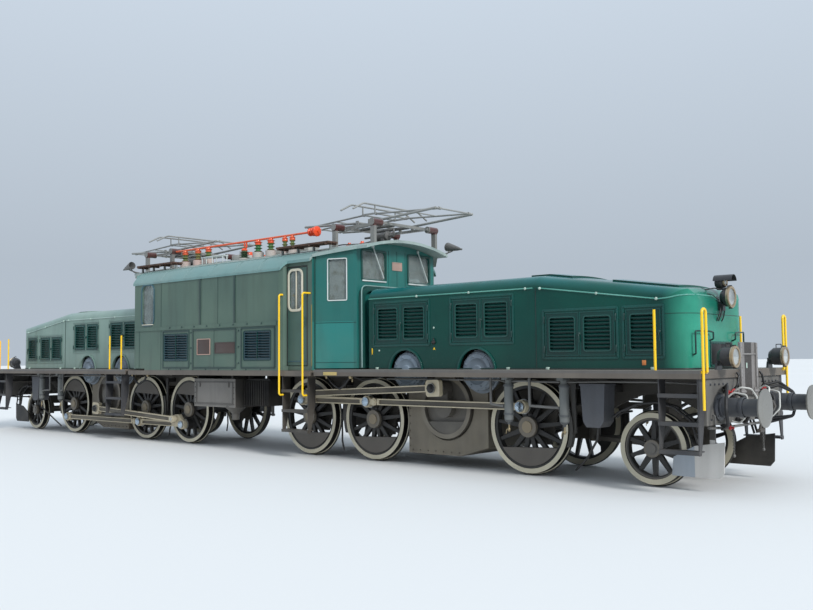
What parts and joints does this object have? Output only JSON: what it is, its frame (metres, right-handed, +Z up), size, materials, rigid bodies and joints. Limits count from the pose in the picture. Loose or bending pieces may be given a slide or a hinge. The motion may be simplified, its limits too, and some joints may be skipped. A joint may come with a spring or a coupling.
{
  "type": "articulated electric locomotive",
  "caption": "Articulated electric locomotive: centre body with two cabs on two long-nosed trucks with rod-driven wheels and folded pantographs.",
  "frame": {"origin": "middle of the length and width, at the lowest points of the wheel flanges", "axes": "+X along the length towards the front nose (the one nearer in the picture), +Z up, the pictured side is -Y"},
  "size_m": [20.06, 3.094, 4.4476],
  "materials": {
    "body_green": "semi-gloss, dusty",
    "cab_teal": "semi-gloss",
    "roof_grey_green": "matt, dusty",
    "bonnet_green": "glossy",
    "louvre_green": "semi-gloss",
    "frame_brown": "matt, dusty",
    "deck_grey": "matt",
    "underfloor_black": "matt",
    "drive_grey": "satin",
    "buffer_steel": "worn",
    "lamp_metal": "satin with bright rims",
    "rail_yellow": "glossy",
    "wheel_grey": "satin, cream tyre faces",
    "rod_cream": "painted edges, dark flutes",
    "gear_iron": "matt, dusty",
    "glass": "clear",
    "cabin_grey": "satin",
    "plank_brown": "weathered",
    "busbar_orange": "satin, green glazed insulators",
    "pantograph_grey": "satin"
  },
  "bodies": {
    "body": {"side_walls": "body_green", "end_walls": "cab_teal", "roof": "roof_grey_green", "body_frame": "deck_grey", "body_handrails": "rail_yellow", "body_glass": "glass", "body_louvres": "louvre_green", "bulkheads": "cabin_grey", "cab_fittings": "cabin_grey", "transformer": "cabin_grey", "roof_walkways": "plank_brown", "roof_busbar": "busbar_orange", "pantograph_bases": "pantograph_grey", "underfloor_boxes": "underfloor_black"},
    "truck_front": {"truck_frame_front": "frame_brown", "footplate_front": "deck_grey", "bonnet_front": "bonnet_green", "bonnet_louvres_front": "louvre_green", "drive_front": "drive_grey", "end_gear_front": "buffer_steel", "lamps_front": "lamp_metal", "truck_handrails_front": "rail_yellow", "under_gear_front": "gear_iron"},
    "driver_axle_outer_front": {"driver_axle_outer_front": "wheel_grey"},
    "driver_axle_middle_front": {"driver_axle_middle_front": "wheel_grey"},
    "driver_axle_inner_front": {"driver_axle_inner_front": "wheel_grey"},
    "carrying_axle_front": {"carrying_axle_front": "wheel_grey"},
    "jackshaft_front": {"jackshaft_front": "wheel_grey"},
    "rods_near_front": {"rods_near_front": "rod_cream"},
    "rods_far_front": {"rods_far_front": "rod_cream"},
    "cab_door_front": {"cab_door_front": "cab_teal", "cab_door_glass_front": "glass"},
    "pantograph_lower_arm_outer_front": {"pantograph_lower_arm_outer_front": "pantograph_grey"},
    "pantograph_upper_arm_outer_front": {"pantograph_upper_arm_outer_front": "pantograph_grey"},
    "pantograph_lower_arm_inner_front": {"pantograph_lower_arm_inner_front": "pantograph_grey"},
    "pantograph_upper_arm_inner_front": {"pantograph_upper_arm_inner_front": "pantograph_grey"},
    "pantograph_head_front": {"pantograph_head_front": "pantograph_grey"},
    "truck_rear": {"truck_frame_rear": "frame_brown", "footplate_rear": "deck_grey", "bonnet_rear": "bonnet_green", "bonnet_louvres_rear": "louvre_green", "drive_rear": "drive_grey", "end_gear_rear": "buffer_steel", "lamps_rear": "lamp_metal", "truck_handrails_rear": "rail_yellow", "under_gear_rear": "gear_iron"},
    "driver_axle_outer_rear": {"driver_axle_outer_rear": "wheel_grey"},
    "driver_axle_middle_rear": {"driver_axle_middle_rear": "wheel_grey"},
    "driver_axle_inner_rear": {"driver_axle_inner_rear": "wheel_grey"},
    "carrying_axle_rear": {"carrying_axle_rear": "wheel_grey"},
    "jackshaft_rear": {"jackshaft_rear": "wheel_grey"},
    "rods_near_rear": {"rods_near_rear": "rod_cream"},
    "rods_far_rear": {"rods_far_rear": "rod_cream"},
    "cab_door_rear": {"cab_door_rear": "cab_teal", "cab_door_glass_rear": "glass"},
    "pantograph_lower_arm_outer_rear": {"pantograph_lower_arm_outer_rear": "pantograph_grey"},
    "pantograph_upper_arm_outer_rear": {"pantograph_upper_arm_outer_rear": "pantograph_grey"},
    "pantograph_lower_arm_inner_rear": {"pantograph_lower_arm_inner_rear": "pantograph_grey"},
    "pantograph_upper_arm_inner_rear": {"pantograph_upper_arm_inner_rear": "pantograph_grey"},
    "pantograph_head_rear": {"pantograph_head_rear": "pantograph_grey"}
  },
  "joints": [
    {"name": "truck_front_yaw", "type": "hinge", "parent": "body", "child": "truck_front", "pos_m": [2.65, 0, 1.3], "axis": [0, 0, 1], "range_deg": [-3, 3]},
    {"name": "driver_outer_spin_front", "type": "hinge", "parent": "truck_front", "child": "driver_axle_outer_front", "pos_m": [6.55, 0, 0.703], "axis": [0, 1, 0], "continuous": true},
    {"name": "driver_middle_spin_front", "type": "hinge", "parent": "truck_front", "child": "driver_axle_middle_front", "pos_m": [3.45, 0, 0.703], "axis": [0, 1, 0], "continuous": true},
    {"name": "driver_inner_spin_front", "type": "hinge", "parent": "truck_front", "child": "driver_axle_inner_front", "pos_m": [1.85, 0, 0.703], "axis": [0, 1, 0], "continuous": true},
    {"name": "carrying_spin_front", "type": "hinge", "parent": "truck_front", "child": "carrying_axle_front", "pos_m": [8.5, 0, 0.503], "axis": [0, 1, 0], "continuous": true},
    {"name": "jackshaft_spin_front", "type": "hinge", "parent": "truck_front", "child": "jackshaft_front", "pos_m": [5, 0, 0.95], "axis": [0, 1, 0], "continuous": true},
    {"name": "rods_near_hinge_front", "type": "hinge", "parent": "driver_axle_outer_front", "child": "rods_near_front", "pos_m": [6.53953, -0.965, 1.00282], "axis": [0, 1, 0], "continuous": true},
    {"name": "rods_far_hinge_front", "type": "hinge", "parent": "driver_axle_outer_front", "child": "rods_far_front", "pos_m": [6.25018, 0.965, 0.69253], "axis": [0, 1, 0], "continuous": true},
    {"name": "cab_door_swing_front", "type": "hinge", "parent": "body", "child": "cab_door_front", "pos_m": [1.85, -1.275, 2.4], "axis": [0, 0, 1], "range_deg": [0, 90]},
    {"name": "pantograph_raise_front", "type": "hinge", "parent": "body", "child": "pantograph_lower_arm_outer_front", "pos_m": [3.13, 0, 4.13], "axis": [0, -1, 0], "range_deg": [0, 44]},
    {"name": "pantograph_knee_outer_front", "type": "hinge", "parent": "pantograph_lower_arm_outer_front", "child": "pantograph_upper_arm_outer_front", "pos_m": [4.57801, 0, 4.20589], "axis": [0, -1, 0], "range_deg": [-88, 0]},
    {"name": "pantograph_head_tilt_front", "type": "hinge", "parent": "pantograph_upper_arm_outer_front", "child": "pantograph_head_front", "pos_m": [3.13, 0, 4.28177], "axis": [0, -1, 0], "range_deg": [0, 44]},
    {"name": "pantograph_raise_inner_front", "type": "hinge", "parent": "body", "child": "pantograph_lower_arm_inner_front", "pos_m": [2.83, 0, 4.13], "axis": [0, -1, 0], "range_deg": [-44, 0]},
    {"name": "pantograph_knee_inner_front", "type": "hinge", "parent": "pantograph_lower_arm_inner_front", "child": "pantograph_upper_arm_inner_front", "pos_m": [1.38199, 0, 4.20589], "axis": [0, -1, 0], "range_deg": [0, 88]},
    {"name": "truck_rear_yaw", "type": "hinge", "parent": "body", "child": "truck_rear", "pos_m": [-2.65, 0, 1.3], "axis": [0, 0, 1], "range_deg": [-3, 3]},
    {"name": "driver_outer_spin_rear", "type": "hinge", "parent": "truck_rear", "child": "driver_axle_outer_rear", "pos_m": [-6.55, 0, 0.703], "axis": [0, 1, 0], "continuous": true},
    {"name": "driver_middle_spin_rear", "type": "hinge", "parent": "truck_rear", "child": "driver_axle_middle_rear", "pos_m": [-3.45, 0, 0.703], "axis": [0, 1, 0], "continuous": true},
    {"name": "driver_inner_spin_rear", "type": "hinge", "parent": "truck_rear", "child": "driver_axle_inner_rear", "pos_m": [-1.85, 0, 0.703], "axis": [0, 1, 0], "continuous": true},
    {"name": "carrying_spin_rear", "type": "hinge", "parent": "truck_rear", "child": "carrying_axle_rear", "pos_m": [-8.5, 0, 0.503], "axis": [0, 1, 0], "continuous": true},
    {"name": "jackshaft_spin_rear", "type": "hinge", "parent": "truck_rear", "child": "jackshaft_rear", "pos_m": [-5, 0, 0.95], "axis": [0, 1, 0], "continuous": true},
    {"name": "rods_near_hinge_rear", "type": "hinge", "parent": "driver_axle_outer_rear", "child": "rods_near_rear", "pos_m": [-6.25018, 0.965, 0.69253], "axis": [0, 1, 0], "continuous": true},
    {"name": "rods_far_hinge_rear", "type": "hinge", "parent": "driver_axle_outer_rear", "child": "rods_far_rear", "pos_m": [-6.56047, -0.965, 0.40318], "axis": [0, 1, 0], "continuous": true},
    {"name": "cab_door_swing_rear", "type": "hinge", "parent": "body", "child": "cab_door_rear", "pos_m": [-1.85, 1.275, 2.4], "axis": [0, 0, 1], "range_deg": [0, 90]},
    {"name": "pantograph_raise_rear", "type": "hinge", "parent": "body", "child": "pantograph_lower_arm_outer_rear", "pos_m": [-3.13, 0, 4.13], "axis": [0, 1, 0], "range_deg": [0, 44]},
    {"name": "pantograph_knee_outer_rear", "type": "hinge", "parent": "pantograph_lower_arm_outer_rear", "child": "pantograph_upper_arm_outer_rear", "pos_m": [-4.57801, 0, 4.20589], "axis": [0, 1, 0], "range_deg": [-88, 0]},
    {"name": "pantograph_head_tilt_rear", "type": "hinge", "parent": "pantograph_upper_arm_outer_rear", "child": "pantograph_head_rear", "pos_m": [-3.13, 0, 4.28177], "axis": [0, 1, 0], "range_deg": [0, 44]},
    {"name": "pantograph_raise_inner_rear", "type": "hinge", "parent": "body", "child": "pantograph_lower_arm_inner_rear", "pos_m": [-2.83, 0, 4.13], "axis": [0, 1, 0], "range_deg": [-44, 0]},
    {"name": "pantograph_knee_inner_rear", "type": "hinge", "parent": "pantograph_lower_arm_inner_rear", "child": "pantograph_upper_arm_inner_rear", "pos_m": [-1.38199, 0, 4.20589], "axis": [0, 1, 0], "range_deg": [0, 88]}
  ],
  "couplings": [
    {"joint": "driver_middle_spin_front", "follows": "driver_outer_spin_front", "ratio": 1},
    {"joint": "driver_inner_spin_front", "follows": "driver_outer_spin_front", "ratio": 1},
    {"joint": "jackshaft_spin_front", "follows": "driver_outer_spin_front", "ratio": 1},
    {"joint": "rods_near_hinge_front", "follows": "driver_outer_spin_front", "ratio": -1},
    {"joint": "rods_far_hinge_front", "follows": "driver_outer_spin_front", "ratio": -1},
    {"joint": "pantograph_knee_outer_front", "follows": "pantograph_raise_front", "ratio": -2},
    {"joint": "pantograph_head_tilt_front", "follows": "pantograph_raise_front", "ratio": 1},
    {"joint": "pantograph_raise_inner_front", "follows": "pantograph_raise_front", "ratio": -1},
    {"joint": "pantograph_knee_inner_front", "follows": "pantograph_raise_front", "ratio": 2},
    {"joint": "driver_middle_spin_rear", "follows": "driver_outer_spin_rear", "ratio": 1},
    {"joint": "driver_inner_spin_rear", "follows": "driver_outer_spin_rear", "ratio": 1},
    {"joint": "jackshaft_spin_rear", "follows": "driver_outer_spin_rear", "ratio": 1},
    {"joint": "rods_near_hinge_rear", "follows": "driver_outer_spin_rear", "ratio": -1},
    {"joint": "rods_far_hinge_rear", "follows": "driver_outer_spin_rear", "ratio": -1},
    {"joint": "pantograph_knee_outer_rear", "follows": "pantograph_raise_rear", "ratio": -2},
    {"joint": "pantograph_head_tilt_rear", "follows": "pantograph_raise_rear", "ratio": 1},
    {"joint": "pantograph_raise_inner_rear", "follows": "pantograph_raise_rear", "ratio": -1},
    {"joint": "pantograph_knee_inner_rear", "follows": "pantograph_raise_rear", "ratio": 2}
  ]
}
